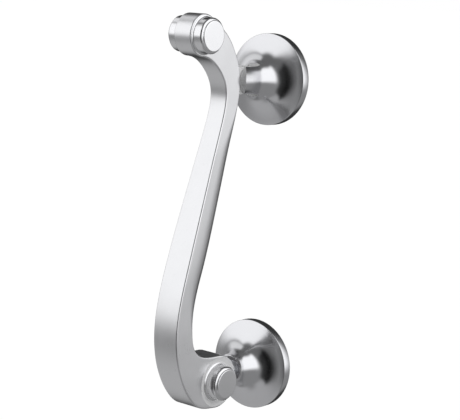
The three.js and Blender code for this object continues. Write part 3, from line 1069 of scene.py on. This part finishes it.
def room_light():
    """An even grey room with soft light panels, seen only in the metal, and pale paper behind."""
    world = bpy.data.worlds.new("studio")
    bpy.context.scene.world = world
    world.use_nodes = True
    tree = world.node_tree
    tree.nodes.clear()
    where = node(tree, "ShaderNodeTexCoord").outputs["Generated"]
    x, y, z = parts_of(tree, where)
    degrees = 360 / TURN
    bearing = x.sum("ARCTAN2", -y) * degrees
    height = z.sum("ARCSINE") * degrees
    rise = (height / HORIZON + 0.5).clamped()
    light = rise * (SKY_LIGHT - GROUND_LIGHT) + GROUND_LIGHT
    for shape, brightness in PANELS:
        sockets = dict(zip(PANEL_INPUTS, (bearing, height, *shape)))
        panel = group(tree, "light_panel", window_sheet, sockets)
        light = light.towards(brightness, Number(tree, panel.outputs[0]))
    room = node(tree, "ShaderNodeBackground", {"Color": (0.985, 0.99, 1.0, 1.0)})
    feed(tree, room.inputs["Strength"], light)
    paper = bpy.context.scene.knocker_stage.paper
    behind = node(tree, "ShaderNodeBackground", {"Color": (*paper, 1.0), "Strength": 1.0})
    seen = node(tree, "ShaderNodeLightPath").outputs["Is Camera Ray"]
    mixed = node(tree, "ShaderNodeMixShader", {0: seen, 1: room.outputs[0], 2: behind.outputs[0]})
    out = node(tree, "ShaderNodeOutputWorld")
    tree.links.new(mixed.outputs[0], out.inputs["Surface"])


def paper_finish():
    made = bpy.data.materials.new("pale_floor")
    made.use_nodes = True
    tree = made.node_tree
    shader = tree.nodes["Principled BSDF"]
    paper = bpy.context.scene.knocker_stage.paper
    values = {
        "Base Color": (0.02, 0.02, 0.02, 1), "Roughness": 0.9, "Specular IOR Level": 0.0,
        "Emission Color": (*paper, 1.0), "Emission Strength": 1.0}
    for name, value in values.items():
        shader.inputs[name].default_value = value
    return made


FLOOR_HALF_SIZE = 60
FLOOR_DEPTH = 0.7


def make_floor():
    """A wide pale floor well below the knocker."""
    work = bmesh.new()
    bmesh.ops.create_grid(work, x_segments=8, y_segments=8, size=FLOOR_HALF_SIZE)
    mesh = bpy.data.meshes.new("floor")
    work.to_mesh(mesh)
    work.free()
    mesh.transform(Matrix.Translation((0, 0, -FLOOR_DEPTH)))
    mesh.materials.append(paper_finish())
    floor = bpy.data.objects.new("floor", mesh)
    bpy.context.scene.collection.objects.link(floor)
    floor.visible_glossy = False
    floor.visible_diffuse = False


# The point in the middle of the picture.
LOOK_AT = Vector((-21.861, 0, -68.601)) * MM


def make_camera():
    stage = bpy.context.scene.knocker_stage
    across = math.radians(90) - stage.azimuth
    back = Vector((
        math.cos(across) * math.cos(stage.elevation),
        -math.sin(across) * math.cos(stage.elevation),
        math.sin(stage.elevation)))
    right = Vector((math.cos(stage.azimuth), math.sin(stage.azimuth), 0))
    up = back.cross(right)
    right, up = (right * math.cos(stage.lean) + up * math.sin(stage.lean),
                 up * math.cos(stage.lean) - right * math.sin(stage.lean))
    lens = bpy.data.cameras.new("camera")
    lens.lens = stage.focal
    lens.sensor_width = 36
    lens.clip_start = 0.05
    lens.clip_end = 200
    camera = bpy.data.objects.new("camera", lens)
    bpy.context.scene.collection.objects.link(camera)
    turn = Matrix((right, up, back)).transposed().to_4x4()
    camera.matrix_world = Matrix.Translation(LOOK_AT + back * stage.distance) @ turn
    bpy.context.scene.camera = camera


def make_stage():
    room_light()
    make_floor()
    make_camera()
    bpy.context.scene.view_settings.view_transform = "Standard"


# -------- operators and panel

class Steps:
    """What the operators share: each runs its own steps in turn."""

    def execute(self, context):
        for step in self.steps:
            step()
        return {"FINISHED"}


class KNOCKER_OT_stage(Steps, bpy.types.Operator):
    """Make the floor, the light and the camera"""

    bl_idname = "knocker.make_stage"
    bl_label = "Stage"
    steps = (make_stage,)


class KNOCKER_OT_roses(Steps, bpy.types.Operator):
    """Make the two roses"""

    bl_idname = "knocker.make_roses"
    bl_label = "Roses"
    steps = (upper_rose, lower_rose)


class KNOCKER_OT_arm(Steps, bpy.types.Operator):
    """Make the arm with its scrolls and tongue"""

    bl_idname = "knocker.make_arm"
    bl_label = "Arm"
    steps = (make_arm,)


class KNOCKER_OT_buttons(Steps, bpy.types.Operator):
    """Make the four stepped buttons"""

    bl_idname = "knocker.make_buttons"
    bl_label = "Buttons"
    steps = (make_buttons,)


class KNOCKER_OT_button_rods(Steps, bpy.types.Operator):
    """Make the rods that carry the buttons"""

    bl_idname = "knocker.make_button_rods"
    bl_label = "Button rods"
    steps = (make_button_rods,)


class KNOCKER_OT_hinge_pin(Steps, bpy.types.Operator):
    """Make the hinge pin"""

    bl_idname = "knocker.make_hinge_pin"
    bl_label = "Hinge pin"
    steps = (make_hinge_pin,)


class KNOCKER_OT_striking_stud(Steps, bpy.types.Operator):
    """Make the striking stud"""

    bl_idname = "knocker.make_striking_stud"
    bl_label = "Striking stud"
    steps = (make_striking_stud,)


class KNOCKER_OT_fixing_studs(Steps, bpy.types.Operator):
    """Make the threaded fixing studs"""

    bl_idname = "knocker.make_fixing_studs"
    bl_label = "Fixing studs"
    steps = (make_fixing_studs,)


OPERATORS = (
    KNOCKER_OT_stage, KNOCKER_OT_roses, KNOCKER_OT_arm, KNOCKER_OT_buttons, KNOCKER_OT_button_rods,
    KNOCKER_OT_hinge_pin, KNOCKER_OT_striking_stud, KNOCKER_OT_fixing_studs,
)


class KNOCKER_PT_panel(bpy.types.Panel):
    """Settings and steps of the door knocker"""

    bl_idname = "KNOCKER_PT_panel"
    bl_label = "Door Knocker"
    bl_space_type = "VIEW_3D"
    bl_region_type = "UI"
    bl_category = "Knocker"

    def draw(self, context):
        for group_name, settings in GROUPS.items():
            box = self.layout.box()
            for field in settings.__annotations__:
                box.prop(getattr(context.scene, group_name), field)
        for operator in OPERATORS:
            self.layout.operator(operator.bl_idname)


CLASSES = (*GROUPS.values(), *OPERATORS, KNOCKER_PT_panel)


def register():
    for item in CLASSES:
        bpy.utils.register_class(item)
    for name, settings in GROUPS.items():
        setattr(bpy.types.Scene, name, bpy.props.PointerProperty(type=settings))


def unregister():
    for name in GROUPS:
        delattr(bpy.types.Scene, name)
    for item in reversed(CLASSES):
        bpy.utils.unregister_class(item)


def main():
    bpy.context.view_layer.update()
    register()
    for operator in OPERATORS:
        group_name, step = operator.bl_idname.split(".")
        getattr(getattr(bpy.ops, group_name), step)()


if __name__ == "__main__":
    main()
